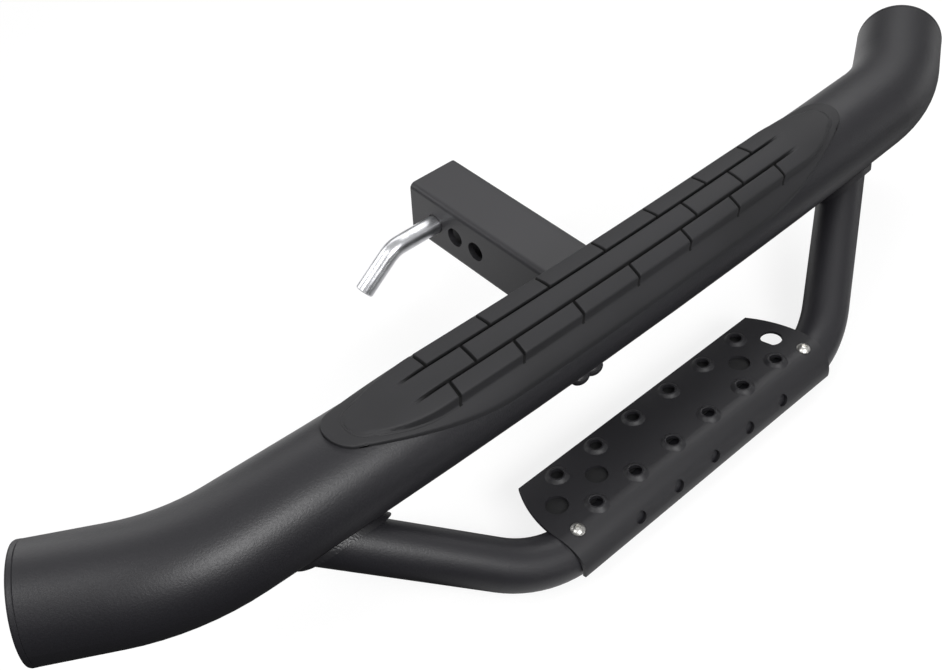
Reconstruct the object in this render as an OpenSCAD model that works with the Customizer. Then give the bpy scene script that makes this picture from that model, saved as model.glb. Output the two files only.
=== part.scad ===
// Receiver step for a tow hitch: a bowed cross tube with a moulded tread pad, a square shank with pin
// holes, and a lower step plate carried by a bent drop frame.
// The origin is the locking pin's hole on the shank axis. +X runs along the cross tube, +Y along the
// shank into the receiver, +Z up.

/* [Cross tube] */
// Outside diameter of the cross tube
tube_d = 76.2; // [60:0.1:102]
// Wall of the cross tube
tube_wall = 2.6; // [1.6:0.1:5]
// Half length of the gently bowed middle, along the tube
tube_mid = 336; // [300:1:420]
// Radius of the gentle bow of the middle
bow_r = 8000; // [4000:100:20000]
// Bend radius of the swept ends, to the tube axis
sweep_r = 155; // [110:1:220]
// Angle through which each end is swept towards the vehicle
sweep_deg = 27.5; // [15:0.5:40]
// Straight length after each sweep, to the face of the end cap
tube_end = 54; // [25:1:90]
// Cross tube axis above the shank axis
tube_rise = 25; // [10:0.5:36]
// Cross tube axis behind the locking pin's hole
tube_back = 178; // [140:1:260]

/* [End caps] */
// Thickness of the end caps that close the tube
cap_t = 4.6; // [2:0.1:8]
// Length of the cap's spigot inside the tube
cap_spigot = 9; // [4:0.5:18]

/* [Shank] */
// Outside width of the square shank
shank_w = 50.8; // [40:0.1:64]
// Wall of the shank
shank_wall = 5; // [3:0.1:8]
// Outside corner radius of the shank
shank_corner = 5; // [2:0.5:8]
// Shank beyond the locking pin's hole
shank_nose = 30; // [15:1:60]
// Diameter of the holes across the shank
pin_hole_d = 17; // [14:0.1:20]
// Distance between the holes across the shank
hole_pitch = 25; // [20:0.5:32]
// Shank carried on under the cross tube, behind the tube axis
shank_tail = 10; // [2:1:26]

/* [Locking pin] */
// Diameter of the locking pin
pin_d = 15.9; // [12:0.1:16]
// Pin past the far side of the shank
pin_tip = 10; // [4:0.5:24]
// Pin from the shank's near side to the corner of its bend
pin_reach = 45.5; // [30:0.5:70]
// Angle of the pin's bent arm
pin_bend = 39; // [15:1:60]
// Bend radius of the pin's arm
pin_bend_r = 22; // [14:1:40]
// Arm of the pin from the corner of its bend
pin_arm = 43; // [30:1:90]

/* [Drop frame] */
// Outside diameter of the drop frame's tube
frame_d = 38.1; // [30:0.1:44]
// Wall of the drop frame's tube
frame_wall = 2.6; // [1.6:0.1:5]
// Axis of the lower bar behind the cross tube axis
bar_back = 91; // [80:1:110]
// Axis of the lower bar below the cross tube axis
bar_drop = 106; // [96:1:130]
// Tilt of the frame's plane from upright
frame_tilt = 48; // [44:0.5:50]
// Half width of the lower bar to the corner of its bend
bar_half = 161; // [150:1:185]
// Angle of the legs from the lower bar
leg_deg = 42; // [36:1:50]
// Bend radius of the drop frame, to the tube axis
frame_bend_r = 98; // [96:1:106]
// Weld bead leg
weld = 4.5; // [2:0.1:7]

/* [Step plate] */
// Thickness of the step plate
plate_t = 2.5; // [1.5:0.1:4]
// Slope of the step plate down towards the vehicle
plate_tilt = 7; // [0:0.5:10]
// Plate from the lower bar's axis to its straight edge
plate_reach = 55.5; // [52:0.5:75]
// Plate's widest point to the corner of the drop frame, along the bar
plate_margin = 15.5; // [11:0.5:19]
// Radius of the plate's curved ends
plate_end_r = 98; // [80:1:130]
// Clearance between the plate's wrap and the lower bar
plate_gap = 0.4; // [0.4:0.1:1]
// Angle of the plate's wrap around the lower bar
wrap_deg = 104; // [85:1:115]
// Last plain hole to the plate's widest point, along the bar
hole_margin = 21.6; // [17:0.1:30]
// First row of raised holes, from the bar's axis
row_a = 3.5; // [0:0.5:6]
// Row of plain holes, from the bar's axis
row_b = 23.2; // [20:0.5:28]
// Second row of raised holes, from the bar's axis
row_c = 43.5; // [40:0.5:46]
// Row of holes in the wrap, as an angle from the plate's normal
row_wrap = 69; // [60:1:75]
// Bore of the raised holes and of the wrap's holes
grip_d = 10; // [6:0.5:11]
// Height of the raised holes above the plate
grip_h = 2.2; // [1:0.1:4]
// Diameter of the plain holes
plain_d = 17.5; // [10:0.5:19]

/* [Plate support] */
// Thickness of the support under the plate
support_t = 4; // [2:0.5:6]
// Length of the support
support_len = 242; // [180:1:244]
// Shift of the support along the bar
support_shift = -6; // [-8:0.5:8]
// Support from the lower bar's axis to its edge
support_reach = 50; // [40:0.5:52]

/* [Plate screws] */
// Each plate screw to the plate's widest point, along the bar
screw_margin = 15.5; // [12:0.5:19]
// Lean of the plate screws from the plate's normal
screw_lean = 10; // [6:1:14]
// Diameter of the screw's thread
screw_d = 6; // [4:0.5:8]
// Diameter of the screw's button head
screw_head_d = 11; // [9:0.1:14]
// Height of the screw's button head
screw_head_h = 3.3; // [2:0.1:5]
// Length of the screw under its head
screw_len = 16; // [12:0.5:22]

/* [Tread pad] */
// Half length of the pad
pad_half = 262; // [250:1:290]
// Half angle that the pad's flange covers on the tube
pad_deg = 59; // [45:1:70]
// Lean of the pad towards the person who steps on it
pad_lean = 8; // [0:0.5:20]
// Thickness of the pad's flange
pad_flange = 2.2; // [1.4:0.1:4]
// Length of the pad's tapered ends
pad_taper = 131; // [90:1:160]
// Radius of the pad's end tips
pad_tip = 19; // [10:0.5:22]
// Shift of the pad's end tips towards the vehicle
pad_skew = 5.5; // [0:0.5:8]
// Thickness of the tread at its crown
tread_t = 7.7; // [5:0.1:12]
// Radius of the tread's crowned top
tread_r = 60; // [45:1:120]
// Half width of the tread
tread_half_w = 23; // [19:0.5:26]
// Half length of the tread
tread_half = 248; // [235:1:256]
// Length of the tread's rounded ends
tread_taper = 62; // [40:1:90]
// Radius of the tread's end tips
tread_tip = 12.5; // [8:0.5:16]
// Shift of the tread's end tips towards the vehicle
tread_skew = 2.5; // [0:0.5:4]
// Length of the ramp at each end of the tread
ramp_len = 82; // [50:1:110]
// Distance between the cross grooves of a row
brick = 56; // [40:0.5:58]
// Shift of the outer rows of cross grooves along the pad
brick_shift = -10; // [-12:0.5:12]
// Further shift between the two outer rows
brick_stagger = 4; // [0:0.5:8]
// Shift of the middle row along the pad
middle_shift = -14; // [-16:0.5:16]
// Distance of the long grooves from the middle of their pair
groove_y = 8.9; // [6:0.1:11]
// Shift of the groove pattern towards the person who steps on it
groove_shift = 1.7; // [0:0.1:3]
// Half length of the long grooves
groove_half = 207; // [190:1:225]
// Width of the grooves
groove_w = 2; // [1:0.1:3]
// Depth of the grooves
groove_h = 2.5; // [1:0.1:3.5]

/* [Hidden] */
$fn = 96;
seat = 0.3;
sliver = 0.15;
eps = 0.01;
// Neighbouring lengths of a bent tube lap by this much, one a hair inside the other
lap = 1;
slip = 0.04;

tube_r = tube_d / 2;
tube_in = tube_r - tube_wall;
mid_deg = tube_mid / bow_r * 180 / PI;
end_deg = mid_deg + sweep_deg;
bend_c = [bow_r * sin(mid_deg) - sweep_r * sin(mid_deg), bow_r * (1 - cos(mid_deg)) + sweep_r * cos(mid_deg)];
end_p = [bend_c[0] + sweep_r * sin(end_deg), bend_c[1] - sweep_r * cos(end_deg)];
fine = 720;

frame_r = frame_d / 2;
frame_in = frame_r - frame_wall;
bend_run = frame_bend_r * tan(leg_deg / 2);
frame_rise = bar_back * sin(frame_tilt) + bar_drop * cos(frame_tilt);
frame_off = bar_drop * sin(frame_tilt) - bar_back * cos(frame_tilt);
leg_len = frame_rise / sin(leg_deg);
leg_x = bar_half + leg_len * cos(leg_deg) - sqrt(pow(tube_r, 2) - pow(frame_off, 2)) / tan(leg_deg);

plate_half = bar_half - plate_margin;
hole_step = (plate_half - hole_margin) / 3;
screw_x = plate_half - screw_margin;
far = 2.5 * bar_half;
wrap_in = frame_r + plate_gap;
wrap_out = wrap_in + plate_t;

pad_in = tube_r + seat;
flange_r = pad_in + pad_flange;
crown_r = pad_in + tread_t;
pad_half_w = flange_r * sin(pad_deg);

// Places its children on the cross tube's axis at the middle
module at_tube() {
    translate([0, -tube_back, tube_rise]) children();
}

// Places its children at a point x along the bowed middle, with the tube axis as local X
module at_bow(x) {
    translate([0, bow_r, 0]) rotate([0, 0, x / bow_r * 180 / PI]) translate([0, -bow_r, 0]) children();
}

// Sweeps a profile along the bowed middle; the profile's x is outwards from the bow's centre
module along_bow(half) {
    a = half / bow_r * 180 / PI;
    translate([0, bow_r, 0]) rotate([0, 0, -90 - a]) rotate_extrude(angle = 2 * a, $fn = fine)
        translate([bow_r, 0]) children();
}

// Section of a tube, or of a rod where the wall is 0
module ring(r, wall) {
    difference() {
        circle(r, $fn = 96);
        if (wall > 0) circle(r - wall, $fn = 96);
    }
}

// Cross tube: the bowed middle, two sweeps and two straight ends
module cross_tube(r, wall, straight) {
    lap_deg = lap / sweep_r * 180 / PI;
    at_tube() {
        along_bow(tube_mid) ring(r, wall);
        for (s = [0, 1]) mirror([s, 0, 0]) {
            translate([bend_c[0], bend_c[1], 0]) rotate([0, 0, -90 + mid_deg - lap_deg])
                rotate_extrude(angle = sweep_deg + lap_deg, $fn = 240)
                translate([sweep_r, 0]) ring(r - slip, wall - 2 * slip);
            translate([end_p[0], end_p[1], 0]) rotate([0, 0, end_deg]) translate([-lap, 0, 0]) rotate([0, 90, 0])
                linear_extrude(straight + lap) rotate(-90) ring(r - 2 * slip, wall - 4 * slip);
        }
    }
}

// Straight length that touches the bowed tube at x, for the cut of a joint there
module tube_near(x, r, half) {
    at_tube() at_bow(x) rotate([0, 90, 0]) cylinder(r = r, h = 2 * half, center = true);
}

module main_tube() {
    color([0.13, 0.13, 0.14]) cross_tube(tube_r, tube_wall, tube_end - cap_t);
}

// End cap with a spigot inside the tube and a broken outer edge
module end_cap(s) {
    color([0.13, 0.13, 0.14]) at_tube() mirror([s < 0 ? 1 : 0, 0, 0])
        translate([end_p[0], end_p[1], 0]) rotate([0, 0, end_deg]) rotate([0, 90, 0])
        translate([0, 0, tube_end - cap_t]) rotate_extrude()
        polygon([[0, -cap_spigot], [tube_in - seat - 1, -cap_spigot], [tube_in - seat, 1 - cap_spigot],
            [tube_in - seat, 0], [tube_r - 0.8, 0], [tube_r, 0.8], [tube_r, cap_t - 1.4],
            [tube_r - 0.4, cap_t - 0.4], [tube_r - 1.4, cap_t], [0, cap_t]]);
}

// Square with rounded corners
module round_square(w, r) {
    square([w - 2 * r, w], center = true);
    square([w, w - 2 * r], center = true);
    for (x = [-1, 1], y = [-1, 1]) translate([x * (w / 2 - r), y * (w / 2 - r)]) circle(r, $fn = 48);
}

// Shank outline from the nose to its tail under the cross tube
module shank_bar(w, r, extra) {
    translate([0, shank_nose + extra, 0]) rotate([90, 0, 0])
        linear_extrude(shank_nose + tube_back + shank_tail + 2 * extra) round_square(w, r);
}

module shank() {
    color([0.15, 0.15, 0.16]) difference() {
        shank_bar(shank_w, shank_corner, 0);
        shank_bar(shank_w - 2 * shank_wall, 1, 1);
        tube_near(0, tube_r + sliver, shank_w);
        for (i = [0 : 2]) translate([0, -i * hole_pitch, 0]) rotate([0, 90, 0])
            cylinder(d = pin_hole_d, h = shank_w + 2, center = true);
    }
}

// Bead round the shank where it meets the cross tube
module shank_weld() {
    color([0.13, 0.13, 0.14]) difference() {
        intersection() {
            shank_bar(shank_w + 2 * weld, shank_corner + weld, -weld);
            tube_near(0, tube_r + weld, shank_w);
        }
        tube_near(0, tube_r + sliver, 2 * shank_w);
        shank_bar(shank_w + 2 * sliver, shank_corner + sliver, 1);
    }
}

// Short stitch of weld with two lumps, under the cross tube beside the shank
module stitch_weld() {
    color([0.13, 0.13, 0.14]) difference() {
        at_tube() for (i = [0, 1]) translate([-shank_w / 2 - (4.6 + 3.1 * i) * weld, -0.62 * tube_r, -0.82 * tube_r])
            scale([1.9 * weld, 1.3 * weld, 1.3 * weld]) sphere(r = 1, $fn = 40);
        tube_near(-shank_w, tube_r + sliver, 2 * shank_w);
    }
}

// Places its children in the plane of the drop frame, on the lower bar's axis, with Y along the legs
module at_frame() {
    at_tube() translate([0, -bar_back, -bar_drop]) rotate([90 - frame_tilt, 0, 0]) children();
}

// Bent drop frame: the lower bar, two bends and two legs; a rod where the wall is 0
module frame_tube(r, wall, reach) {
    lap_deg = lap / frame_bend_r * 180 / PI;
    at_frame() {
        rotate([0, 90, 0]) linear_extrude(2 * (bar_half - bend_run), center = true) rotate(-90) ring(r, wall);
        for (s = [0, 1]) mirror([s, 0, 0]) {
            translate([bar_half - bend_run, frame_bend_r, 0]) rotate([0, 0, -90 - lap_deg])
                rotate_extrude(angle = leg_deg + lap_deg, $fn = 240)
                translate([frame_bend_r, 0]) ring(r - slip, wall - 2 * slip);
            translate([bar_half, 0, 0]) rotate([0, 0, leg_deg]) translate([bend_run - lap, 0, 0]) rotate([0, 90, 0])
                linear_extrude(reach - bend_run + lap) rotate(-90) ring(r - 2 * slip, wall - 4 * slip);
        }
    }
}

module drop_frame() {
    color([0.13, 0.13, 0.14]) difference() {
        frame_tube(frame_r, frame_wall, leg_len);
        for (s = [-1, 1]) tube_near(s * leg_x, tube_r + sliver, 90);
        for (s = [-1, 1]) screw_axis(s) cylinder(d = insert_d + 2 * sliver, h = 2 * frame_r, $fn = 48);
    }
}

// Collar of weld where one leg meets the cross tube
module frame_weld(s) {
    color([0.13, 0.13, 0.14]) difference() {
        intersection() {
            at_frame() mirror([s < 0 ? 1 : 0, 0, 0]) translate([bar_half, 0, 0]) rotate([0, 0, leg_deg])
                translate([leg_len / 2, 0, 0]) rotate([0, 90, 0]) cylinder(r = frame_r + weld, h = leg_len / 2);
            tube_near(s * leg_x, tube_r + weld, 90);
        }
        tube_near(s * leg_x, tube_r + sliver, 90);
        at_frame() mirror([s < 0 ? 1 : 0, 0, 0]) translate([bar_half, 0, 0]) rotate([0, 0, leg_deg])
            translate([bend_run, 0, 0]) rotate([0, 90, 0]) cylinder(r = frame_r + sliver, h = leg_len);
    }
}

// Places its children on the lower bar's axis with Z along the plate's normal and Y towards the vehicle
module at_plate() {
    at_tube() translate([0, -bar_back, -bar_drop]) rotate([-plate_tilt, 0, 0]) children();
}

// Flat outline of the plate seen along its normal
module plate_outline() {
    c = plate_half - plate_end_r;
    intersection() {
        union() {
            square([2 * c, far], center = true);
            for (s = [-1, 1]) translate([s * c, 5]) circle(plate_end_r, $fn = 180);
        }
        translate([-far / 2, -1.2 * wrap_out]) square([far, 1.2 * wrap_out + plate_reach]);
    }
}

// Section of the formed sheet: the flat tread and the wrap over the lower bar
module plate_section() {
    q = 3 * wrap_out;
    translate([0, wrap_in]) square([plate_reach, plate_t]);
    difference() {
        intersection() {
            circle(wrap_out, $fn = 120);
            polygon([[plate_t / 5, 0], [plate_t / 5, q], [-1.5 * q, q],
                [-1.5 * q, 1.5 * q * cos(wrap_deg) / sin(wrap_deg)], [0, 0]]);
        }
        circle(wrap_in, $fn = 120);
    }
}

// Places its children at a raised or plain hole of the plate
module grip_rows() {
    for (i = [-2.5 : 1 : 2.5], y = [row_a, row_c]) translate([i * hole_step, y, wrap_out]) children();
}

module step_plate() {
    color([0.1, 0.1, 0.11]) difference() {
        at_plate() {
            intersection() {
                rotate([90, 0, 90]) linear_extrude(2 * plate_half + 2, center = true) plate_section();
                translate([0, 0, -wrap_out - 5]) linear_extrude(2 * wrap_out + 10) plate_outline();
            }
            grip_rows() translate([0, 0, -eps]) cylinder(d1 = grip_d + 8, d2 = grip_d + 3, h = grip_h);
        }
        at_plate() {
            grip_rows() {
                translate([0, 0, -2 * plate_t]) cylinder(d = grip_d, h = 4 * plate_t + grip_h);
                translate([0, 0, -plate_t - 0.1]) cylinder(d1 = grip_d + 4, d2 = grip_d - 1, h = grip_h + 0.3);
            }
            for (i = [-3, -2, 2, 3]) translate([i * hole_step, row_b, wrap_in - 1])
                cylinder(d = plain_d, h = plate_t + 2);
            for (i = [-2 : 2]) translate([i * hole_step, 0, 0]) rotate([row_wrap, 0, 0])
                translate([0, 0, wrap_in - 2]) cylinder(d = grip_d, h = plate_t + 4);
        }
        for (s = [-1, 1]) screw_axis(s) translate([0, 0, frame_r]) cylinder(d = screw_d + 0.6, h = 12);
        frame_tube(frame_r + seat, 0, leg_len / 2);
    }
}

// Support strip under the plate, cut to the lower bar
module plate_support() {
    h = support_len / 2;
    color([0.11, 0.11, 0.12]) difference() {
        at_plate() translate([support_shift, 0, wrap_in - sliver - support_t]) linear_extrude(support_t)
            polygon([[-h - 6, 8], [h + 6, 8], [h + 6, 14], [h, support_reach], [-h, support_reach], [-h - 6, 14]]);
        frame_tube(frame_r + sliver, 0, leg_len / 2);
    }
}

// Stitch of weld between the support and the lower bar
module support_weld(s) {
    z = wrap_in - sliver - support_t;
    y = sqrt(pow(frame_r, 2) - pow(z, 2));
    color([0.11, 0.11, 0.12]) difference() {
        at_plate() translate([s * support_len / 4 + support_shift, y + 1, z - 0.5]) rotate([0, 90, 0])
            cylinder(r = weld * 0.75, h = support_len / 5, center = true, $fn = 40);
        frame_tube(frame_r + sliver, 0, leg_len / 2);
        at_plate() translate([0, 0, z - sliver]) linear_extrude(5 * support_t) square([far, far / 2], center = true);
    }
}

// Places its children at a plate screw, with Z along the screw from the lower bar's axis
module screw_axis(s) {
    at_plate() translate([s * screw_x, 0, 0]) rotate([screw_lean, 0, 0]) children();
}

insert_d = screw_d + 3;
insert_top = frame_r - 0.2;
insert_deep = screw_len - 2;

// Button-head screw with a hexagon socket
module plate_screw(s) {
    k = wrap_out + 0.1;
    hr = screw_head_d / 2;
    ball = (pow(hr, 2) + pow(screw_head_h, 2)) / (2 * screw_head_h);
    color([0.8, 0.8, 0.82]) screw_axis(s) difference() {
        union() {
            intersection() {
                translate([0, 0, k]) cylinder(r = hr, h = screw_head_h);
                translate([0, 0, k + screw_head_h - ball * 1.02]) sphere(r = ball * 1.02, $fn = 64);
            }
            translate([0, 0, k - screw_len]) cylinder(d = screw_d, h = screw_len + 0.5);
        }
        translate([0, 0, k + screw_head_h - 2]) cylinder(d = screw_head_d * 0.42, h = 4, $fn = 6);
    }
}

// Threaded insert set in the lower bar's wall
module screw_insert(s) {
    color([0.75, 0.75, 0.7]) screw_axis(s) difference() {
        union() {
            translate([0, 0, insert_top - insert_deep]) cylinder(d = insert_d, h = insert_deep);
            translate([0, 0, sqrt(pow(frame_in, 2) - pow(insert_d / 2 + 1.8, 2)) - 4 - seat])
                cylinder(d = insert_d + 3.6, h = 4);
        }
        translate([0, 0, insert_top - insert_deep - 1]) cylinder(d = screw_d + 2 * sliver, h = insert_deep + 2);
    }
}

// Radius of the side curve that meets an end tip of radius t, in an end of length l and half width w
function side_r(l, w, t) = (pow(l - t, 2) + pow(w, 2) - pow(t, 2)) / (2 * (w - t));

// Outline of one tapered end: two side curves that run into a round tip, set off the centreline by c
module end_outline(l, w, t, c) {
    for (s = [-1, 1]) {
        r = side_r(l, w - s * c, t);
        x = (l - t) * (1 + 0.9 * t / (r - t));
        intersection() {
            translate([0, s * (w - r)]) circle(r, $fn = 720);
            translate([-l / 2, s > 0 ? c - 1 : -w - 1]) square([l / 2 + x, w + 2 - s * c]);
        }
    }
    translate([l - t, c]) circle(t, $fn = 96);
}

// Places its children on the tube axis with Z out through the pad's centreline
module at_pad() {
    at_tube() rotate([pad_lean, 0, 0]) children();
}

// What is cut away round one end of the pad or of its tread
module end_cut(s, half, l, w, t, c) {
    at_tube() mirror([s < 0 ? 1 : 0, 0, 0]) at_bow(half - l) rotate([pad_lean, 0, 0]) linear_extrude(90)
        difference() {
            translate([0, -90]) square([l + 40, 180]);
            end_outline(l, w, t, c);
        }
}

// Sector of a ring about the tube axis, in the profile's plane
module flange_section() {
    difference() {
        intersection() {
            circle(flange_r, $fn = 160);
            polygon([[0, 0], [90 * sin(pad_deg), 90 * cos(pad_deg)], [90, 90], [-90, 90],
                [-90 * sin(pad_deg), 90 * cos(pad_deg)]]);
        }
        circle(pad_in, $fn = 160);
    }
}

// Crowned top of the tread at a depth below it
module crown(depth) {
    translate([0, crown_r - tread_r]) circle(tread_r - depth, $fn = 160);
}

// Section of the tread under its crowned top
module tread_section() {
    difference() {
        intersection() {
            crown(0);
            translate([-tread_half_w, flange_r * cos(pad_deg)]) square([2 * tread_half_w, 60]);
        }
        circle(pad_in + pad_flange / 2, $fn = 160);
    }
}

// Section of what the two long grooves take out of the tread
module groove_section() {
    for (s = [-1, 1]) difference() {
        translate([groove_shift + s * groove_y - groove_w / 2, 0]) square([groove_w, 90]);
        crown(groove_h);
    }
}

// Piece that a cross groove takes out of the tread, between two distances from the centreline
module cross_groove(x, y0, y1) {
    at_tube() at_bow(x) rotate([pad_lean, 0, 0]) rotate([90, 0, 90]) linear_extrude(groove_w, center = true)
        difference() {
            translate([y0 - groove_shift, 0]) square([y1 - y0, 90]);
            crown(groove_h - 0.3);
        }
}

module tread_pad() {
    wide = tread_half_w + 4;
    color([0.12, 0.12, 0.125]) difference() {
        union() {
            difference() {
                at_tube() along_bow(pad_half + 1) rotate(-pad_lean) flange_section();
                for (s = [-1, 1]) end_cut(s, pad_half, pad_taper, pad_half_w + 0.4, pad_tip, pad_skew);
            }
            difference() {
                at_tube() along_bow(tread_half + 1) rotate(-pad_lean) tread_section();
                for (s = [-1, 1]) end_cut(s, tread_half, tread_taper, tread_half_w + 0.3, tread_tip, tread_skew);
                for (s = [0, 1]) at_pad() mirror([s, 0, 0]) translate([tread_half - ramp_len, -60, crown_r])
                    rotate([0, atan((tread_t - pad_flange - 0.5) / ramp_len), 0])
                    cube([ramp_len * 2, 120, 20]);
            }
        }
        at_tube() along_bow(groove_half) rotate(-pad_lean) groove_section();
        for (i = [-3 : 3]) {
            cross_groove(i * brick + brick_shift - brick_stagger / 2, groove_y, wide);
            cross_groove(i * brick + brick_shift + brick_stagger / 2, -wide, -groove_y);
        }
        for (i = [-2.5, 1.5, 2.5]) cross_groove(i * (brick - 1) + middle_shift, -groove_y, groove_y);
    }
}

// Locking pin: a straight shaft across the shank, a bend, and an arm that hangs down
module hitch_pin() {
    r = pin_d / 2;
    x0 = -shank_w / 2 - pin_reach;
    run = pin_bend_r * tan(pin_bend / 2);
    tip = shank_w / 2 + pin_tip - x0 - run;
    lap_deg = lap / 2 / pin_bend_r * 180 / PI;
    color([0.75, 0.77, 0.8]) {
        translate([x0 + run, 0, 0]) rotate([0, 90, 0]) rotate_extrude() polygon([[0, 0], [r, 0],
            [r, tip - 0.6 * pin_tip], [0.85 * r, tip - 0.52 * pin_tip], [0.85 * r, tip - 0.36 * pin_tip],
            [r, tip - 0.28 * pin_tip], [r, tip - 0.16 * pin_tip], [0.8 * r, tip], [0, tip]]);
        translate([x0 + run, 0, -pin_bend_r]) rotate([90, 0, 0]) rotate([0, 0, 90 - lap_deg])
            rotate_extrude(angle = pin_bend + lap_deg, $fn = 240)
            translate([pin_bend_r, 0]) circle(r - slip, $fn = 64);
        translate([x0, 0, 0]) rotate([0, -90 - pin_bend, 0]) translate([0, 0, run - lap]) rotate_extrude()
            polygon([[0, 0], [r - 2 * slip, 0], [r - 2 * slip, pin_arm - run + lap - r / 8],
            [0.88 * r, pin_arm - run + lap], [0, pin_arm - run + lap]]);
    }
}

main_tube();
end_cap(-1);  // end_cap_left
end_cap(1);  // end_cap_right
shank();
shank_weld();
drop_frame();
frame_weld(-1);  // frame_weld_left
frame_weld(1);  // frame_weld_right
plate_support();
support_weld(-1);  // support_weld_left
support_weld(1);  // support_weld_right
step_plate();
plate_screw(-1);  // plate_screw_left
plate_screw(1);  // plate_screw_right
screw_insert(-1);  // screw_insert_left
screw_insert(1);  // screw_insert_right
stitch_weld();
tread_pad();
hitch_pin();
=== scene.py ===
# %% [markdown]
# # A receiver step, dressed for the studio
#
# The object is a step that slides into the square socket of a tow hitch. The solids come from the CAD
# model and stay exactly as they are: this script gives them their finishes, adds the small forms that a
# solid modeller leaves out, and sets up the camera and the light. Everything is in metres, with +X along
# the cross tube, +Y along the shank towards the vehicle and +Z up.

# %% Load the CAD frame
import bmesh
import bpy
import math
import numpy as np
from mathutils import Matrix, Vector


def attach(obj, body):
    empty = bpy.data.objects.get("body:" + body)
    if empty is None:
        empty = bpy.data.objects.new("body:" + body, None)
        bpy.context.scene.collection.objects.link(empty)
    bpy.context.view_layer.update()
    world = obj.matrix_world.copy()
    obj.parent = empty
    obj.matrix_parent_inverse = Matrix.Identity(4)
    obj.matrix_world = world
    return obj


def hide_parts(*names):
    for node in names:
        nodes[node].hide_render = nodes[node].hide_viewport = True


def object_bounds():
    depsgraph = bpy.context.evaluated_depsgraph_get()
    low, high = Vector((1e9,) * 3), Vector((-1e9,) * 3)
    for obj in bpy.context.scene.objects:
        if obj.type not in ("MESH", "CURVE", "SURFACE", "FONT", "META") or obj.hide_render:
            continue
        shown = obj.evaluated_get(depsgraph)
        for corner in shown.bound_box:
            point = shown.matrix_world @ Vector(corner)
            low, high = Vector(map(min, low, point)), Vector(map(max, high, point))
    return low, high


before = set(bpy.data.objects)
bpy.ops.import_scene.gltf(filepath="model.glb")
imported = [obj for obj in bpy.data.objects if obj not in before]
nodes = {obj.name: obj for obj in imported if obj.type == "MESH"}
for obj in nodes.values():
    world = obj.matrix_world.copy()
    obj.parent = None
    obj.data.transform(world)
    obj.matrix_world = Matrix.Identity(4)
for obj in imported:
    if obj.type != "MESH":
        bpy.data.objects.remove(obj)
cad_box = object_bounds()
print("CAD nodes:", len(nodes), "box:", cad_box)

# %% [markdown]
# ## The camera
#
# The photograph looks down on the step from its left rear. The camera was found by matching the edges
# of the tubes and the shank. It could be aimed at a target object with a constraint, but a plain
# rotation built from three angles says exactly what it is and keeps the small roll of the picture.

# %% Camera
PHOTO_W, SENSOR_MM, FOCAL_PX = 945, 36.0, 1176.06
CAMERA_AT = (-0.50411, -0.59917, 0.61870)
AZIMUTH, ELEVATION, ROLL = -40.703, 44.400, -2.116


def camera_axes(azimuth, elevation, roll):
    """Right, up and backward directions of a camera that looks down at an elevation, turned by a roll.

    back = (sin az cos el, -cos az cos el, sin el); right and up are turned about it by the roll.
    """
    az, el, ro = (math.radians(v) for v in (azimuth, elevation, roll))
    back = np.array([math.sin(az) * math.cos(el), -math.cos(az) * math.cos(el), math.sin(el)])
    right = np.cross(-back, [0, 0, 1])
    right /= np.linalg.norm(right)
    up = np.cross(back, right)
    return (math.cos(ro) * right + math.sin(ro) * up,
            -math.sin(ro) * right + math.cos(ro) * up, back)


def add_object(name, data):
    """A new object that shows some data, linked to the scene."""
    ob = bpy.data.objects.new(name, data)
    bpy.context.scene.collection.objects.link(ob)
    return ob


def stand(ob, axes, at):
    """Put an object at a point, with its own X, Y and Z along three directions."""
    pose = np.eye(4)
    pose[:3, :3] = np.array(axes).T
    pose[:3, 3] = at
    ob.matrix_world = Matrix(pose.tolist())


cam_data = bpy.data.cameras.new("photo_camera")
cam_data.sensor_width = SENSOR_MM
cam_data.lens = SENSOR_MM * FOCAL_PX / PHOTO_W
cam_data.clip_start, cam_data.clip_end = 0.01, 20.0
cam = add_object("photo_camera", cam_data)
stand(cam, camera_axes(AZIMUTH, ELEVATION, ROLL), CAMERA_AT)
bpy.context.scene.camera = cam
bpy.context.scene.view_settings.view_transform = "Standard"
print("lens:", round(cam_data.lens, 2), "mm")

# %% [markdown]
# ## Shader maths as plain Python
#
# Materials here are formulas: a little noise, a mask, a mix. Wiring each Math node by hand hides the
# formula, so one small class wraps a node's output and turns `a * b + 1` into the nodes for it.

# %% The socket class


class Wire:
    """A value in a material. Arithmetic on it adds Math nodes to the material's tree."""

    def __init__(self, tree, socket):
        self.tree, self.socket = tree, socket

    def math(self, operation, *values):
        """A Math node with this operation on the values."""
        sockets = {f"_{i}": value for i, value in enumerate(values)}
        return add_node(self.tree, "ShaderNodeMath", {"operation": operation}, **sockets)

    def __add__(self, other): return self.math("ADD", self, other)
    def __radd__(self, other): return self.math("ADD", other, self)
    def __sub__(self, other): return self.math("SUBTRACT", self, other)
    def __rsub__(self, other): return self.math("SUBTRACT", other, self)
    def __mul__(self, other): return self.math("MULTIPLY", self, other)
    def __rmul__(self, other): return self.math("MULTIPLY", other, self)

    def ramp(self, low, high):
        """Smooth step from 0 to 1 as the value goes from low to high."""
        return add_node(self.tree, "ShaderNodeMapRange", {"interpolation_type": "SMOOTHSTEP"},
                        _0=self, _1=low, _2=high)


def feed(tree, socket, value):
    """Give a socket a link, a colour or a number."""
    if isinstance(value, Wire):
        tree.links.new(value.socket, socket)
    elif isinstance(value, (tuple, list)) and len(value) == 3 and socket.type == "RGBA":
        socket.default_value = (*value, 1.0)
    else:
        socket.default_value = value


def add_node(tree, kind, settings=None, out=0, **inputs):
    """Add a node of a type, set its settings, then feed its sockets by name or by _index."""
    n = tree.nodes.new(kind)
    for key, value in (settings or {}).items():
        setattr(n, key, value)
    for key, value in inputs.items():
        by_index = key[0] == "_" and key[1:].isdigit()
        feed(tree, n.inputs[int(key[1:]) if by_index else key.replace("_", " ")], value)
    return Wire(tree, n.outputs[out])


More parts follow.
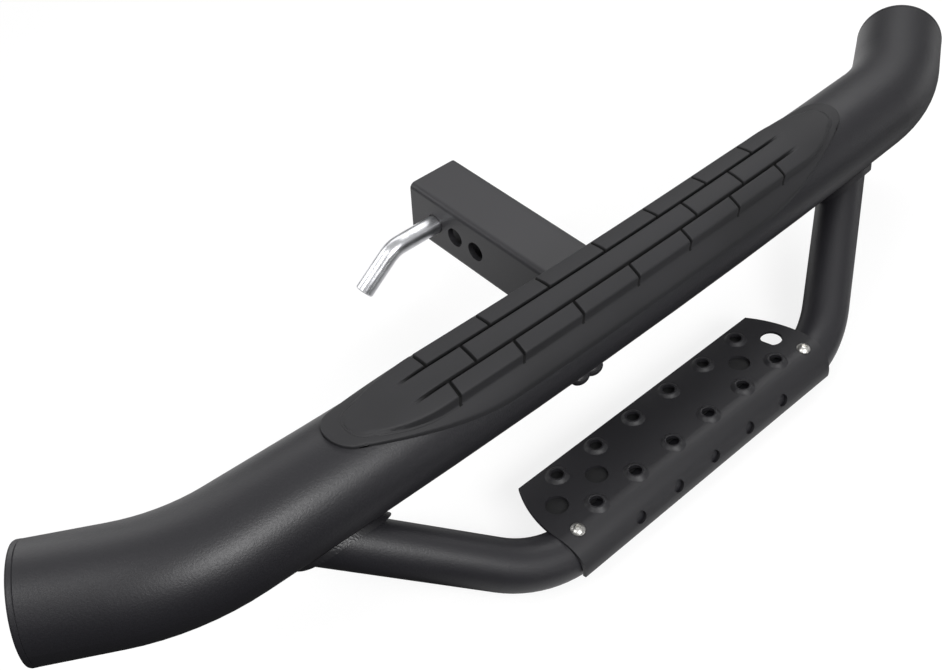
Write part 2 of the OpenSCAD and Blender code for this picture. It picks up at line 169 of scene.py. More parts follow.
print("shader maths ready:", Wire.__doc__)

# %% [markdown]
# ## What every finish needs
#
# Each finish starts from the object's own coordinates in metres, so a grain keeps its real size on every
# piece. Noise, a mix of two colours and a bump are all that the finishes are made of. The same could be
# had from one large node group with many inputs, but a few short functions are easier to read.

# %% Helpers for finishes
MM = 1000.0  # millimetres in a metre


def start_material(name):
    """A new material with its tree, its Object coordinates and its shader node."""
    m = bpy.data.materials.new(name)
    m.use_nodes = True
    tree = m.node_tree
    tree.nodes.clear()
    place = add_node(tree, "ShaderNodeTexCoord", out="Object")
    shader = tree.nodes.new("ShaderNodeBsdfPrincipled")
    end = tree.nodes.new("ShaderNodeOutputMaterial")
    tree.links.new(shader.outputs[0], end.inputs[0])
    return m, tree, place, shader


def noise(place, waves, detail, rough):
    """Perlin noise of a number of waves to the metre, about 0 to 1 with its middle at 0.5."""
    return add_node(place.tree, "ShaderNodeTexNoise",
                    Vector=place, Scale=waves, Detail=detail, Roughness=rough)


def split(vector):
    """The x, y and z of a vector, as three wires from one node."""
    n = add_node(vector.tree, "ShaderNodeSeparateXYZ", Vector=vector).socket.node
    return [Wire(vector.tree, socket) for socket in n.outputs]


def mix_colour(tree, factor, a, b):
    """Colour a where the factor is 0 and b where it is 1."""
    return add_node(tree, "ShaderNodeMix", {"data_type": "RGBA"}, 2, _0=factor, _6=a, _7=b)


def shade(colour, share):
    """A colour made darker or lighter by a share."""
    return tuple(share * c for c in colour)


def bump(height, strength, depth):
    """Normal of a surface whose height varies by a depth in metres."""
    return add_node(height.tree, "ShaderNodeBump", Height=height, Strength=strength, Distance=depth)


def set_shader(tree, shader, **values):
    """Feed the shader's sockets by name."""
    for key, value in values.items():
        feed(tree, shader.inputs[key.replace("_", " ")], value)


print("helpers ready, millimetres in a metre:", MM)

# %% [markdown]
# ## Powder coat
#
# The tubes carry a fine textured powder coat: baked plastic powder that dries with a grain of about a
# millimetre. The grain shows as tiny glints where the light grazes the tube. A bitmap would repeat, so
# two sizes of noise are used, one for the grain and one for a slow change of gloss. The tubes have the
# coarsest grain, the shank is smoother and a little greyer, and the support under the plate is darkest:
# its near-black coat is painted shade for the plate's shadow over it.

# %% Powder coat material


def powder_coat(name, colour, rough, grain_mm, height_mm):
    """Grained coat: tone = 0.5 + 0.7 grain + 0.35 cloud, both about zero, from a dark to a lit colour."""
    m, tree, place, shader = start_material(name)
    grain = noise(place, MM / grain_mm, 2.0, 0.6)
    cloud = noise(place, 9.0, 3.0, 0.5)
    tone = (grain - 0.5) * 0.7 + (cloud - 0.5) * 0.35 + 0.5
    set_shader(tree, shader,
               Base_Color=mix_colour(tree, tone, shade(colour, 0.82), shade(colour, 1.2)),
               Roughness=rough + (cloud - 0.5) * 0.10 + (grain - 0.5) * 0.12,
               Normal=bump(grain, 0.5, height_mm / MM))
    return m


# painted shade: the support's coat is near black because it stands for the shadow the plate casts over the
# support
shaded_support_coat = powder_coat("support_coat_painted_shade", (0.0050, 0.0050, 0.0056), 0.62, 1.3, 0.10)
black_coat = powder_coat("black_powder_coat", (0.0128, 0.0124, 0.0152), 0.46, 1.5, 0.26)
plate_coat = powder_coat("plate_coat", (0.0120, 0.0116, 0.0138), 0.50, 1.0, 0.08)
shank_coat = powder_coat("shank_coat", (0.0200, 0.0195, 0.0225), 0.46, 0.9, 0.06)
print("powder coats:", [m.name for m in (shaded_support_coat, black_coat, plate_coat, shank_coat)])

# %% [markdown]
# ## Weld beads
#
# The beads are painted over, so they have the coat's colour, but the ripples of the weld pool still show:
# a crescent about every three millimetres along the seam, a little uneven. The seams run mostly along X,
# so a sine of x, bent by noise, puts a ripple at each step of the torch.

# %% Weld material


def coated_weld(name, colour, rough, step_mm):
    """Painted bead: ripple = half of 1 + sin 2 pi n, shown in patches of noise.

    n counts the steps along x + 0.4 y, and noise moves it by up to about three of them.
    """
    m, tree, place, shader = start_material(name)
    bent = noise(place, 160.0, 2.0, 0.5)
    grain = noise(place, 700.0, 2.0, 0.6)
    patches = noise(place, 95.0, 2.0, 0.5).ramp(0.40, 0.62)
    x, y, _ = split(place)
    steps = (x + y * 0.4) * (MM / step_mm) + bent * 3.2
    ripple = (steps.math("SINE", steps * (2.0 * math.pi)) * 0.5 + 0.5) * patches
    set_shader(tree, shader,
               Base_Color=mix_colour(tree, ripple, shade(colour, 0.85), shade(colour, 1.15)),
               Roughness=rough + (grain - 0.5) * 0.15 - ripple * 0.08,
               Normal=bump(ripple + grain * 0.5, 0.35, 0.3 / MM))
    return m


weld_coat = coated_weld("coated_weld", (0.0140, 0.0136, 0.0160), 0.46, 3.1)
print("weld finish:", weld_coat.name)

# %% [markdown]
# ## Rubber
#
# The pad is moulded rubber: matte, with hardly any grain, a little dust-grey in broad patches. Its mesh
# carries how deep each point lies in a groove, and the rubber's colour is darkened there as painted shade.

# %% Rubber material


def moulded_rubber(name, colour):
    """Matte rubber: patches from 0.85 to 1.2 of the colour, and 0.12 of it at the bottom of a groove as painted
    shade.
    """
    m, tree, place, shader = start_material(name)
    cloud = noise(place, 14.0, 4.0, 0.55)
    fine = noise(place, 1400.0, 2.0, 0.5)
    # painted shade: this attribute darkens the colour towards the bottom of each groove, where shade falls
    hollow = add_node(tree, "ShaderNodeAttribute", {"attribute_name": "groove"}, "Fac")
    skin = mix_colour(tree, cloud.ramp(0.3, 0.7), shade(colour, 0.85), shade(colour, 1.2))
    set_shader(tree, shader,
               Base_Color=mix_colour(tree, hollow, skin, shade(colour, 0.12)),
               Roughness=0.66 + (cloud - 0.5) * 0.18 + hollow * 0.3,
               Normal=bump(fine, 0.25, 0.08 / MM))
    return m


pad_rubber = moulded_rubber("moulded_rubber", (0.0135, 0.0133, 0.0152))
print("rubber:", pad_rubber.name)

# %% [markdown]
# ## Bright metal
#
# The pin is zinc plated and has been slid in and out, so fine streaks run along it. The screws are
# plain stainless steel. Both get a roughness that changes in streaks rather than a single value.

# %% Bright metal materials


def bright_metal(name, colour, rough, stretch):
    """Bare metal: the place is scaled by stretch, so that the streaks are long where it is small."""
    m, tree, place, shader = start_material(name)
    drawn = add_node(tree, "ShaderNodeMapping", Vector=place, Scale=stretch)
    streak = noise(drawn, 600.0, 3.0, 0.6)
    cloud = noise(place, 60.0, 2.0, 0.5)
    set_shader(tree, shader,
               Base_Color=mix_colour(tree, cloud.ramp(0.3, 0.75), shade(colour, 0.72), colour),
               Metallic=1.0,
               Roughness=rough + (streak - 0.5) * 0.08 + (cloud - 0.5) * 0.08,
               Normal=bump(streak, 0.06, 0.03 / MM))
    return m


zinc = bright_metal("zinc_plate", (0.86, 0.87, 0.90), 0.30, (0.06, 1.0, 1.0))
steel = bright_metal("stainless_steel", (0.74, 0.73, 0.70), 0.36, (1.0, 1.0, 1.0))
print("bright metals:", zinc.name, steel.name)

# %% [markdown]
# ## Finishes onto the CAD nodes
#
# Each CAD node keeps its mesh. Only the material in its slot changes. A table of names says at a glance
# what is made of what, where a rule by name, such as all that ends in weld, would hide it.

# %% Assign materials
FINISH = {
    "main_tube": black_coat, "end_cap_left": black_coat, "end_cap_right": black_coat,
    "drop_frame": black_coat, "shank": shank_coat, "shank_weld": weld_coat,
    "frame_weld_left": weld_coat, "frame_weld_right": weld_coat,
    "plate_support": shaded_support_coat, "support_weld_left": weld_coat, "support_weld_right": weld_coat,
    "step_plate": plate_coat, "plate_screw_left": steel, "plate_screw_right": steel,
    "screw_insert_left": zinc, "screw_insert_right": zinc,
    "stitch_weld": weld_coat, "tread_pad": pad_rubber, "hitch_pin": zinc,
}
for name, material in FINISH.items():
    data = nodes[name].data
    if not data.materials:
        data.materials.append(material)
    for i in range(len(data.materials)):
        data.materials[i] = material
print("finished nodes:", len(FINISH))

# %% [markdown]
# ## The tread pad
#
# The CAD pad has sharp grooves and a flat ramp at each end. The moulded one has rounded bricks, grooves
# that fade out, and ends that sink into the flange in a shallow hollow. It is sculpted here as two height
# fields over the bowed tube: the flange, and the tread that stands on it. A subdivided and displaced copy
# of the CAD mesh would need far more points for the same edges, because its grid lines don't run along
# the grooves; these grids put their lines exactly where the surface turns. All lengths of the pad are in
# millimetres, as in the CAD source, until on_tube turns a point into metres.

# %% The pad's frame and outlines
BOW_R, TUBE_AT, LEAN = 8000.0, (0.0, -178.0, 25.0), math.radians(8.0)
SEAT_R, FLANGE_R, CROWN_R, CROWN_BEND = 38.3, 40.6, 46.1, 60.0
PAD = {"half": 262.0, "taper": 131.0, "width": 34.7, "tip": 19.0, "skew": 5.5}
TREAD = {"half": 248.0, "taper": 62.0, "width": 23.0, "tip": 12.5, "skew": 2.5}


def on_tube(s, v, w):
    """Metres of the point s along the bow, v across and away from the vehicle, w out from the axis.

    The axis is an arc of radius R, so the section at s is turned by s / R, and the pad leans by a small
    angle L in it: outwards = v cos L + w sin L, up = w cos L - v sin L.
    """
    a = s / BOW_R
    out = v * math.cos(LEAN) + w * math.sin(LEAN)
    up = w * math.cos(LEAN) - v * math.sin(LEAN)
    x, y = (BOW_R + out) * np.sin(a), BOW_R - (BOW_R + out) * np.cos(a)
    return np.stack([x + TUBE_AT[0], y + TUBE_AT[1], up + TUBE_AT[2]], axis=-1) / MM


def side_arc(form, side):
    """Radius of the arc along one side of an outline.

    The arc starts along the bow and runs tangent into the tip circle t, which lies within the arc's own
    circle. With l the taper's length and k the distance from the side's line to the tip's centre line,
    r = ((l - t)^2 + k^2 - t^2) / (2 (k - t)).
    """
    l, t = form["taper"], form["tip"]
    k = form["width"] + side * form["skew"]
    return ((l - t) ** 2 + k * k - t * t) / (2 * (k - t))


def edge(s, form, side, grow):
    """Across position at s of the outline, grown by a margin, on the outer side (1) or the vehicle's (-1).

    With u the distance into the taper it is sqrt(r^2 - u^2) - (r - w) on the arc, and the tip circle
    from where the two touch, at u = (l - t) r / (r - t).
    """
    r = side_arc(form, side)
    l, t, w = form["taper"], form["tip"], form["width"]
    u = np.clip(np.abs(s) - form["half"] + l, 0.0, l + grow)
    arc = np.sqrt((r + grow) ** 2 - u * u) - (r - w)
    d = np.clip(u - (l - t), 0.0, t + grow)
    cap = np.sqrt((t + grow) ** 2 - d * d) - side * form["skew"]
    return side * np.where(u < (l - t) * (r + grow) / (r - t), arc, cap)


def inside(s, v, form):
    """Distance from the outline, positive within it: to each side's arc, or past its end to the tip."""
    l, t, w = form["taper"], form["tip"], form["width"]
    u = np.maximum(np.abs(s) - form["half"] + l, 0.0)
    distances = []
    for side in (1, -1):
        r = side_arc(form, side)
        q, down = side * v, r - w
        tip_q = -side * form["skew"]
        to_arc = r - np.hypot(u, q + down)
        to_tip = t - np.hypot(u - (l - t), q - tip_q)
        past = (u * (tip_q + down) > (l - t) * (q + down)) & ((q > tip_q) | (u > l - t))
        distances.append(np.where(past, to_tip, to_arc))
    return np.minimum(*distances)


print("side arcs:", [round(side_arc(f, s), 1) for f in (PAD, TREAD) for s in (1, -1)])

# %% [markdown]
# ## The grooves and the heights
#
# Two long grooves split the tread into three rows of bricks, and cross grooves split each row. Their
# places are the CAD's own. Each surface is a height w over a point (s, v). Rounded edges could come from
# a Bevel modifier, but on a height field a quarter circle in the formula does it at no cost.

# %% Groove places
BRICK, GROOVE_SHIFT, GROOVE_Y = 56.0, 1.7, 8.9
NEAR_GROOVE, FAR_GROOVE = GROOVE_SHIFT + GROOVE_Y, GROOVE_SHIFT - GROOVE_Y
LONG_GROOVES = (NEAR_GROOVE, FAR_GROOVE)
LONG_START, LONG_STOP, LONG_FADE = -208.0, 192.0, 24.0
LONG_DEEP, CROSS_DEEP = 3.3, 3.2
CROSS = [(i * BRICK - 12.0, "far") for i in range(-3, 4)]
CROSS += [(i * BRICK - 8.0, "near") for i in range(-3, 4)]
CROSS += [(i * (BRICK - 1.0) - 14.0, "middle") for i in (-2.5, 1.5, 2.5)]
print("long grooves:", len(LONG_GROOVES), "cross grooves:", len(CROSS))

# %% Heights
FLANGE_RIM, TREAD_RIM = 0.9, 1.3  # radii of the rounded edges
FLANGE_FALL, TREAD_FALL = 15.0, 12.0  # slopes of the walls outside them
SINK, SINK_FROM, SINK_TO = 5.0, 176.0, 252.0  # how far the crown sinks, and where along the bow
FOOT_FILLET, FOOT_BURIED = 0.8, 0.9


def smooth(x, low, high):
    """Smooth step from 0 at low to 1 at high, 3 t^2 - 2 t^3."""
    t = np.clip((x - low) / (high - low), 0.0, 1.0)
    return t * t * (3 - 2 * t)


def soft_max(a, b, k):
    """The larger of a and b with a round fillet where they meet: max + h^2 / 4k, h = k - |a - b|."""
    h = np.maximum(k - np.abs(a - b), 0.0)
    return np.maximum(a, b) + h * h / (4 * k)


def rounded_rim(d, radius, fall):
    """Drop at a distance d inside an edge: a quarter circle, and a steep wall outside the edge."""
    t = np.clip(1.0 - d / radius, 0.0, 1.0)
    return radius * (1.0 - np.sqrt(1.0 - t * t)) - np.minimum(d, 0.0) * fall


def groove(d, deep):
    """Depth at a distance d from a groove's middle: flat bottom, steep walls and rounded lips."""
    d = np.abs(d)
    return deep * (1.0 - smooth(d, 0.9, 1.4)) + 0.22 * (1.0 - smooth(d, 1.25, 2.2))


def tube_height(r, v):
    """Height at v of a cylinder of radius r about the tube's axis, sqrt(r^2 - v^2)."""
    return np.sqrt(np.maximum(r * r - v * v, 1.0))


def flange_height(s, v):
    """Top of the flange: a cylinder about the tube's axis with a rounded rim."""
    r = FLANGE_R - rounded_rim(inside(s, v, PAD), FLANGE_RIM, FLANGE_FALL)
    return tube_height(np.maximum(r, SEAT_R), v)


def groove_depth(s, v):
    """Deepest groove at a point. The long ones fade out at both ends, and each cross one keeps its row."""
    fade = smooth(s, LONG_START, LONG_START + LONG_FADE) * (1.0 - smooth(s, LONG_STOP - LONG_FADE, LONG_STOP))
    rows = {"far": v < FAR_GROOVE, "near": v > NEAR_GROOVE, "middle": (v > FAR_GROOVE) & (v < NEAR_GROOVE)}
    cut = np.zeros_like(v)
    for at in LONG_GROOVES:
        cut = np.maximum(cut, groove(v - at, LONG_DEEP) * fade)
    for at, row in CROSS:
        cut = np.maximum(cut, np.where(rows[row], groove(s - at, CROSS_DEEP), 0.0))
    return cut


def tread_height(s, v):
    """Height of the tread and depth of its grooves: a crown that sinks to each end, with a rounded edge.

    Past its edge it meets the flange in a fillet, with a low lip round each end, and its border lies
    buried in the flange.
    """
    d = inside(s, v, TREAD)
    crown = CROWN_R - CROWN_BEND + np.sqrt(CROWN_BEND ** 2 - v * v)
    crown = crown - SINK * smooth(np.abs(s), SINK_FROM, SINK_TO) - rounded_rim(d, TREAD_RIM, TREAD_FALL)
    lip = 0.45 * smooth(-d, 0.0, 0.4) * (1.0 - smooth(-d, 1.1, 2.0)) * smooth(np.abs(s), 178.0, 205.0)
    foot = tube_height(FLANGE_R, v) + lip - FOOT_BURIED * smooth(-d, 1.6, 2.6)
    cut = groove_depth(s, v)
    return soft_max(crown - cut, foot, FOOT_FILLET), cut


middle = (np.zeros(1), np.zeros(1))
print("height on the middle line:", tread_height(*middle)[0], "flange:", flange_height(*middle))

# %% [markdown]
# ## The grids
#
# The lines of each grid gather where the surface turns: at the rims, the foot of the tread and both lips
# of every groove. Between them they stay a few millimetres apart. An even grid as fine as the narrowest
# lip everywhere would have millions of faces for the same look.

# %% Where the lines go
AROUND = np.array([0.4, 0.88, 1.03, 1.15, 1.27, 1.42, 1.8, 2.3])
AROUND = np.concatenate([-AROUND[::-1], AROUND])
TREAD_LINES = np.array([0.0, 0.5, 1.0, 1.5, 1.9, 2.3, 2.55, 2.65, 2.75, 2.85,
                        3.0, 3.2, 3.5, 3.95, 4.6, 6.0, 8.0, 10.4, 13.0])
FLANGE_LINES = np.array([0.0, 0.12, 0.2, 0.35, 0.6, 0.85, 1.1, 1.8, 3.0, 5.0, 8.0])
CLEAR, CLOSEST = 0.35, 0.08  # share of a step kept clear round gathered lines, and least gap in mm
INNER_FAR, INNER_NEAR, INNER_STEP = -9.6, 13.0, 1.6  # band of the tread that holds both long grooves


def lines(low, high, step, marks):
    """Sorted positions from low to high: even ones every step, and those gathered round each mark."""
    near = np.concatenate([m + AROUND for m in marks])
    even = np.arange(low, high + 1e-6, (high - low) / max(1, round((high - low) / step)))
    even = even[np.min(np.abs(even[:, None] - near[None, :]), axis=1) > CLEAR * step]
    every = np.unique(np.round(np.concatenate([even, near, [low, high]]), 4))
    every = every[(every >= low) & (every <= high)]
    keep = np.concatenate([[True], np.diff(every) > CLOSEST])
    return every[keep]


inner = lines(INNER_FAR, INNER_NEAR, INNER_STEP, LONG_GROOVES)
print("lines across the tread's middle:", len(inner))

# %% Points of the two grids
TREAD_GROW, FLANGE_GROW = 2.65, 0.12  # how far each grid reaches past its outline
TREAD_STEP, TREAD_BAND = 3.0, 14.0  # even step along the bow, and the length of the gathered lines
TIP_FROM = 215.0  # from here on the columns close in on the tip's centre line
FLANGE_BAND, FLANGE_ROWS, FLANGE_COLUMNS = 10.0, 200, 31


def spread(s, *columns):
    """Rows s and the blocks of columns beside each other, as two arrays of one shape."""
    v = np.concatenate(columns, axis=1)
    return np.broadcast_to(s[:, None], v.shape), v


def tread_grid():
    """Points of the tread: rows along the bow, columns from the vehicle's side to the outer one."""
    end = TREAD["half"] + TREAD_GROW
    along = lines(-end + TREAD_BAND, end - TREAD_BAND, TREAD_STEP, [at for at, _ in CROSS])
    s = np.concatenate([-end + TREAD_LINES, along, (end - TREAD_LINES)[::-1]])
    mid = -TREAD["skew"] * smooth(np.abs(s), TIP_FROM, TREAD["half"])
    near, far = edge(s, TREAD, 1, TREAD_GROW), edge(s, TREAD, -1, TREAD_GROW)
    in_near = np.minimum(INNER_NEAR, mid + 0.60 * (near - mid))
    in_far = np.maximum(INNER_FAR, mid + 0.42 * (far - mid))
    inner_t = (inner - INNER_FAR) / (INNER_NEAR - INNER_FAR)
    outer_t = (TREAD_LINES / TREAD_LINES[-1])[:-1]
    return spread(s, far[:, None] + (in_far - far)[:, None] * outer_t,
                  in_far[:, None] + (in_near - in_far)[:, None] * inner_t,
                  near[:, None] + (in_near - near)[:, None] * outer_t[::-1])


def flange_grid():
    """Points of the flange, with lines gathered at its rim, closer where it gets narrow."""
    end = PAD["half"] + FLANGE_GROW
    along = np.linspace(-end + FLANGE_BAND, end - FLANGE_BAND, FLANGE_ROWS)
    s = np.concatenate([-end + FLANGE_LINES, along, (end - FLANGE_LINES)[::-1]])
    far, near = edge(s, PAD, -1, FLANGE_GROW), edge(s, PAD, 1, FLANGE_GROW)
    span = near - far
    keep = np.minimum(1.0, span / (4.0 * FLANGE_BAND))
    t = np.linspace(0.0, 1.0, FLANGE_COLUMNS)
    return spread(s, far[:, None] + keep[:, None] * FLANGE_LINES,
                  (far + FLANGE_BAND * keep)[:, None] + (span - 2.0 * FLANGE_BAND * keep)[:, None] * t,
                  near[:, None] - keep[:, None] * FLANGE_LINES[::-1])


tread_s, tread_v = tread_grid()
flange_s, flange_v = flange_grid()
print("rows and columns:", tread_s.shape, flange_s.shape)

# %% [markdown]
# ## From grids to a mesh
#
# Several grids go into one mesh in a single write, which is far quicker than adding faces one by one.
# Points that lie on each other are then merged, so that the seams are closed, and edges that turn
# sharply are marked, so that the shading stays crisp there.

# %% Grids into a mesh
MERGE_WITHIN, SHARP_FROM = 5e-6, math.radians(65.0)


def grid_faces(rows, cols, flip=False):
    """Quads of a grid of rows by cols points, numbered row after row."""
    i, j = np.meshgrid(np.arange(rows - 1), np.arange(cols - 1), indexing="ij")
    a = (i * cols + j).ravel()
    quad = np.stack([a, a + 1, a + cols + 1, a + cols], axis=1)
    return quad[:, ::-1] if flip else quad


def write_quads(mesh, points, quads):
    """Fill an empty mesh from an array of points and one of quads."""
    mesh.vertices.add(len(points))
    mesh.vertices.foreach_set("co", points.ravel())
    mesh.loops.add(quads.size)
    mesh.loops.foreach_set("vertex_index", quads.ravel().astype(np.int32))
    mesh.polygons.add(len(quads))
    mesh.polygons.foreach_set("loop_start", np.arange(0, quads.size, 4, dtype=np.int32))
    mesh.update(calc_edges=True)
    mesh.validate()


def fill_mesh(name, parts, shade_in_grooves=None):
    """One mesh from several (points, quads) grids, with its seams merged.

    shade_in_grooves is the painted shade in the grooves at the first grid's points, from 0 to 1, kept as the
    point attribute groove. The other points have 0.
    """
    points, quads, base = [], [], 0
    for p, q in parts:
        points.append(p.reshape(-1, 3))
        quads.append(q + base)
        base += len(points[-1])
    mesh = bpy.data.meshes.new(name)
    write_quads(mesh, np.concatenate(points), np.concatenate(quads))
    if shade_in_grooves is not None:
        shade_of_points = np.zeros(base, dtype=np.float32)
        shade_of_points[:shade_in_grooves.size] = shade_in_grooves.ravel()
        # the attribute holds the painted shade of the grooves, read by the rubber's colour
        mesh.attributes.new("groove", "FLOAT", "POINT").data.foreach_set("value", shade_of_points)
    joined = bmesh.new()
    joined.from_mesh(mesh)
    bmesh.ops.remove_doubles(joined, verts=joined.verts, dist=MERGE_WITHIN)
    joined.to_mesh(mesh)
    joined.free()
    mesh.shade_smooth()
    mesh.set_sharp_from_angle(angle=SHARP_FROM)
    return mesh


print("points merged within", MERGE_WITHIN * MM, "mm")

# %% [markdown]
# ## The pad itself
#
# Three grids make the pad: the tread, the flange's top and its seat on the tube, which is the same grid
# turned over. The pad stands for the CAD's own and rides with the step.

# %% Build the pad
SHADE_FROM, SHADE_OVER = 0.3, 1.6  # depth where the painted groove shade starts, and over how much it deepens
top, cut = tread_height(tread_s, tread_v)
# painted shade in the grooves, from 0 to 1 at each point of the tread
groove_painted_shade = np.clip((cut - SHADE_FROM) / SHADE_OVER, 0.0, 1.0)
pad_mesh = fill_mesh("tread_pad_moulded", [
    (on_tube(tread_s, tread_v, top), grid_faces(*tread_s.shape)),
    (on_tube(flange_s, flange_v, flange_height(flange_s, flange_v)), grid_faces(*flange_s.shape)),
    (on_tube(flange_s, flange_v, tube_height(SEAT_R, flange_v)), grid_faces(*flange_s.shape, flip=True)),
], groove_painted_shade)
pad = add_object("tread_pad_moulded", pad_mesh)
pad_mesh.materials.append(pad_rubber)
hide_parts("tread_pad")
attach(pad, "step")
print("pad faces:", len(pad_mesh.polygons), "points:", len(pad_mesh.vertices))

# %% [markdown]
# ## The raised holes
#
# A punch forms each raised hole of the plate, so the sheet flares up to it in one smooth curve, where the
# CAD has a plain cone. A ring of formed sheet is laid over each cone. It is a height over the plate's own
# surface, which bends down where the sheet wraps over the lower bar. Lengths are in millimetres here too.

# %% Formed rings
PLATE_AT, PLATE_TILT, PLATE_R = (0.0, -269.0, -81.0), math.radians(-7.0), 21.95
HOLE_COLUMNS, HOLE_ROWS = np.arange(-2.5, 3.0) * 41.3, (3.5, 43.5)
LIP_H, LIP_R, FLARE_R, RING_R = 2.25, 6.0, 9.6, 9.9  # the lip's height, and radii out to the ring's edge
CONE_R, CONE_RISE, CONE_H, OVER_CONE = 9.0, 0.88, 2.2, 0.05  # the CAD's cone, and the gap left over it
THROAT = np.array([[5.02, -1.6], [5.06, -0.9], [5.15, -0.4], [5.35, -0.12], [5.65, -0.01], [LIP_R, 0.0]])


def on_plate(x, y, z):
    """Metres of a point given along the lower bar, across it to the vehicle, and out from it."""
    c, n = math.cos(PLATE_TILT), math.sin(PLATE_TILT)
    across, up = y * c - z * n, y * n + z * c
    return np.stack([x + PLATE_AT[0], across + PLATE_AT[1], up + PLATE_AT[2]], axis=-1) / MM


def formed_ring(cx, cy):
    """Height field round one hole: smooth flare outside, round lip, and a throat that turns down inside.

    h(r) = H (1 - smoothstep(6, 9.6, r)) on top of the sheet, never lower than the cone beneath it.
    """
    radii = np.concatenate([THROAT[:, 0], np.linspace(LIP_R + 0.3, RING_R, 16)])
    r, a = np.meshgrid(radii, np.linspace(0.0, 2.0 * math.pi, 65))
    x, y = cx + r * np.cos(a), cy + r * np.sin(a)
    sheet = np.where(y < 0, np.sqrt(PLATE_R ** 2 - np.minimum(y, 0.0) ** 2), PLATE_R)
    flare = sheet + LIP_H * (1.0 - smooth(r, LIP_R, FLARE_R)) - 0.12 * smooth(r, FLARE_R - 0.1, RING_R)
    cone = PLATE_R + np.minimum((CONE_R - r) * CONE_RISE, CONE_H) + OVER_CONE
    down = np.interp(r, THROAT[:, 0], THROAT[:, 1])
    z = np.where(r < LIP_R, PLATE_R + LIP_H + OVER_CONE + down, soft_max(flare, cone, 0.4))
    return on_plate(x, y, z), grid_faces(*r.shape)


lips_mesh = fill_mesh("formed_lips", [formed_ring(x, y) for y in HOLE_ROWS for x in HOLE_COLUMNS])
lips = add_object("formed_lips", lips_mesh)
lips_mesh.materials.append(plate_coat)
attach(lips, "step")
print("formed rings:", len(HOLE_ROWS) * len(HOLE_COLUMNS), "faces:", len(lips_mesh.polygons))

# %% [markdown]
# ## Floor and backdrop
#
# The photograph's background is plain white, but a white floor would light the object from below, and
# the real one is dark there. So the floor has two looks. The camera sees pale paint mixed with a glow,
# which keeps the object's soft shadow. Other rays see a floor that is dark in front and on the left and
# pale behind. Glossy rays find the glow there, so that the metal mirrors a bright room, and they find it
# in one narrow strip under the plate, which draws a thin light rim along the lower edges of the tubes.

# %% Floor
FLOOR_GAP, FLOOR_SIDE = 0.0005, 30.0
FLOOR_Z = cad_box[0][2] - FLOOR_GAP


def flat_square(side, z):
    """Four corners and the one face of a square at height z; x and y run to half its side each way."""
    x, y = np.meshgrid(np.array([-0.5, 0.5]) * side, np.array([-0.5, 0.5]) * side)
    return np.stack([x.ravel(), y.ravel(), np.full(4, z)], axis=1), [(0, 1, 3, 2)]


corners, faces = flat_square(FLOOR_SIDE, FLOOR_Z)
floor_mesh = bpy.data.meshes.new("studio_floor")
floor_mesh.from_pydata(corners.tolist(), [], faces)
floor = add_object("studio_floor", floor_mesh)
print("floor at", round(FLOOR_Z, 4), "m, side", FLOOR_SIDE, "m")

# %% Floor material
WHITE = (1.0, 1.0, 1.0)


def grey(level):
    """A neutral colour of a level."""
    return (level, level, level)


def mix_shaders(tree, factor, a, b):
    """Shader a where the factor is 0 and b where it is 1."""
    return add_node(tree, "ShaderNodeMixShader", _0=factor, _1=a, _2=b)


def finish_tree(tree, kind, shader):
    """Link a shader to a new output node of a type."""
    tree.links.new(shader.socket, tree.nodes.new(kind).inputs[0])


def two_look_floor(name):
    """Paint and glow for the camera; for other rays a grey that is dark in front, with the glow mirrored."""
    m = bpy.data.materials.new(name)
    m.use_nodes = True
    tree = m.node_tree
    tree.nodes.clear()
    x, y, _ = split(add_node(tree, "ShaderNodeTexCoord", out="Object"))
    behind = y.ramp(-0.25, 0.18) * x.ramp(-0.45, -0.12)
    strip = y.ramp(-0.35, -0.31) * (1.0 - y.ramp(-0.28, -0.24)) * x.ramp(-0.32, -0.14)
    paint = add_node(tree, "ShaderNodeBsdfDiffuse", Color=grey(0.86))
    bounce = add_node(tree, "ShaderNodeBsdfDiffuse", Color=mix_colour(tree, behind, grey(0.03), grey(0.70)))
    glow = add_node(tree, "ShaderNodeEmission", Color=WHITE, Strength=1.10)
    shine = add_node(tree, "ShaderNodeLightPath", out="Is Glossy Ray") * (behind + strip) * 0.8
    seen = add_node(tree, "ShaderNodeLightPath", out="Is Camera Ray")
    look = mix_shaders(tree, seen, mix_shaders(tree, shine, bounce, glow), mix_shaders(tree, 0.72, paint, glow))
    finish_tree(tree, "ShaderNodeOutputMaterial", look)
    return m


floor_mesh.materials.append(two_look_floor("studio_white"))
print("floor finish:", floor_mesh.materials[0].name)

# %% [markdown]
# ## Light
#
# The tube in the photograph has one soft bright band low on its left half and a dark underside, so the
# light is a few soft panels and a world that is dim at the horizon and brighter overhead. An even white
# world would fill the underside. The camera sees a white world behind it all.

# %% World
WORLD_LOW, WORLD_HIGH, WORLD_SEEN = 0.02, 0.50, 1.0


def sky(tree, strength):
    """Even white light of a strength."""
    return add_node(tree, "ShaderNodeBackground", Color=WHITE, Strength=strength)


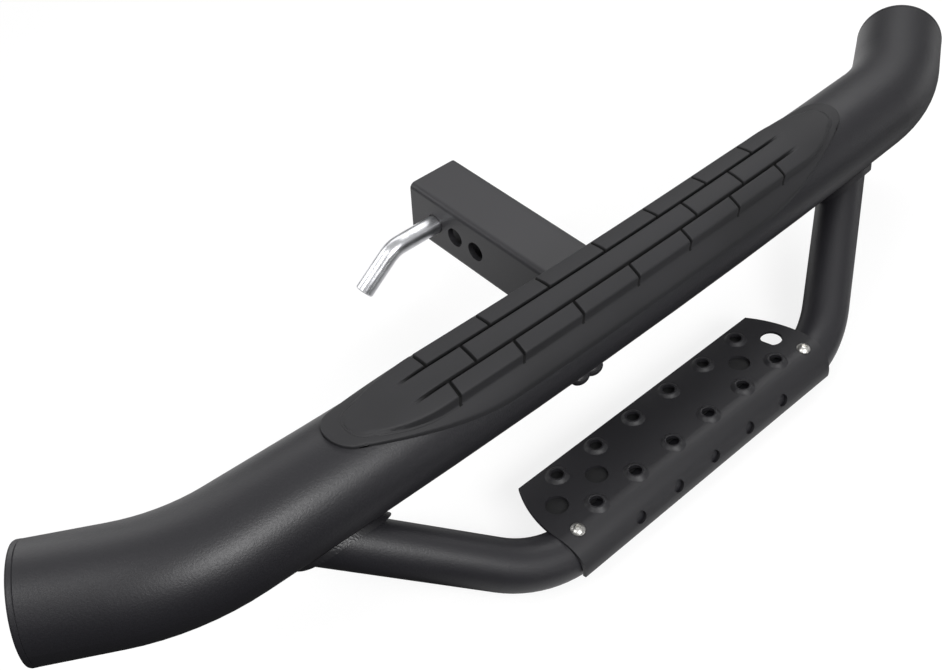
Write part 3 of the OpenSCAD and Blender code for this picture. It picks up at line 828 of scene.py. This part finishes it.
world = bpy.data.worlds.new("studio_world")
bpy.context.scene.world = world
world.use_nodes = True
wt = world.node_tree
wt.nodes.clear()
_, _, height = split(add_node(wt, "ShaderNodeTexCoord", out="Generated"))
lighting = mix_shaders(wt, height.ramp(-0.1, 0.9), sky(wt, WORLD_LOW), sky(wt, WORLD_HIGH))
seen = add_node(wt, "ShaderNodeLightPath", out="Is Camera Ray")
finish_tree(wt, "ShaderNodeOutputWorld", mix_shaders(wt, seen, lighting, sky(wt, WORLD_SEEN)))
print("world:", WORLD_LOW, "to", WORLD_HIGH, "and", WORLD_SEEN, "for the camera")

# %% [markdown]
# ## Lamps
#
# Each panel has one job: the rear one greys the upward faces, the front one draws the band, the left one
# lights the shank's side and the leg, the top and right ones lift the far end, and two small ones whiten
# the pin and touch the plate's bend. One large panel would be simpler, but its one highlight could not
# sit where the photograph has several.

# %% Soft panels
PANELS = (  # name, place, target, width and height, watts
    ("rear_panel", (0.65, 0.90, 1.20), (0.1, -0.15, 0.0), (1.8, 0.8), 6.5),
    ("front_panel", (-0.25, -1.05, 0.70), (-0.15, -0.2, 0.0), (0.6, 0.35), 9.3),
    ("left_panel", (-1.10, -0.10, 1.10), (-0.3, -0.15, 0.0), (0.6, 0.6), 5.6),
    ("top_panel", (0.85, 0.0, 0.95), (0.5, -0.12, 0.0), (0.6, 0.6), 3.5),
    ("right_panel", (1.15, -0.60, 0.02), (0.1, -0.2, 0.0), (0.8, 0.4), 1.1),
    ("pin_panel", (-0.32, 0.35, 0.20), (-0.06, -0.02, 0.0), (0.3, 0.3), 0.6),
    ("low_panel", (0.12, -0.62, -0.09), (0.06, -0.28, -0.10), (0.5, 0.04), 0.25),
)


def panel(name, at, target, size, watts):
    """A rectangular area lamp at a point, aimed at a target, with its width level."""
    lamp = bpy.data.lights.new(name, "AREA")
    lamp.shape = "RECTANGLE"
    lamp.size, lamp.size_y = size
    lamp.energy = watts
    back = np.array(at) - np.array(target)
    back /= np.linalg.norm(back)
    level = np.cross([0, 0, 1], back)
    level /= np.linalg.norm(level)
    stand(add_object(name, lamp), (level, np.cross(back, level), back), at)


for row in PANELS:
    panel(*row)
print("panels:", len(PANELS), "with", round(sum(row[-1] for row in PANELS), 2), "W in all")

# %% [markdown]
# ## Finish
#

# %% The end
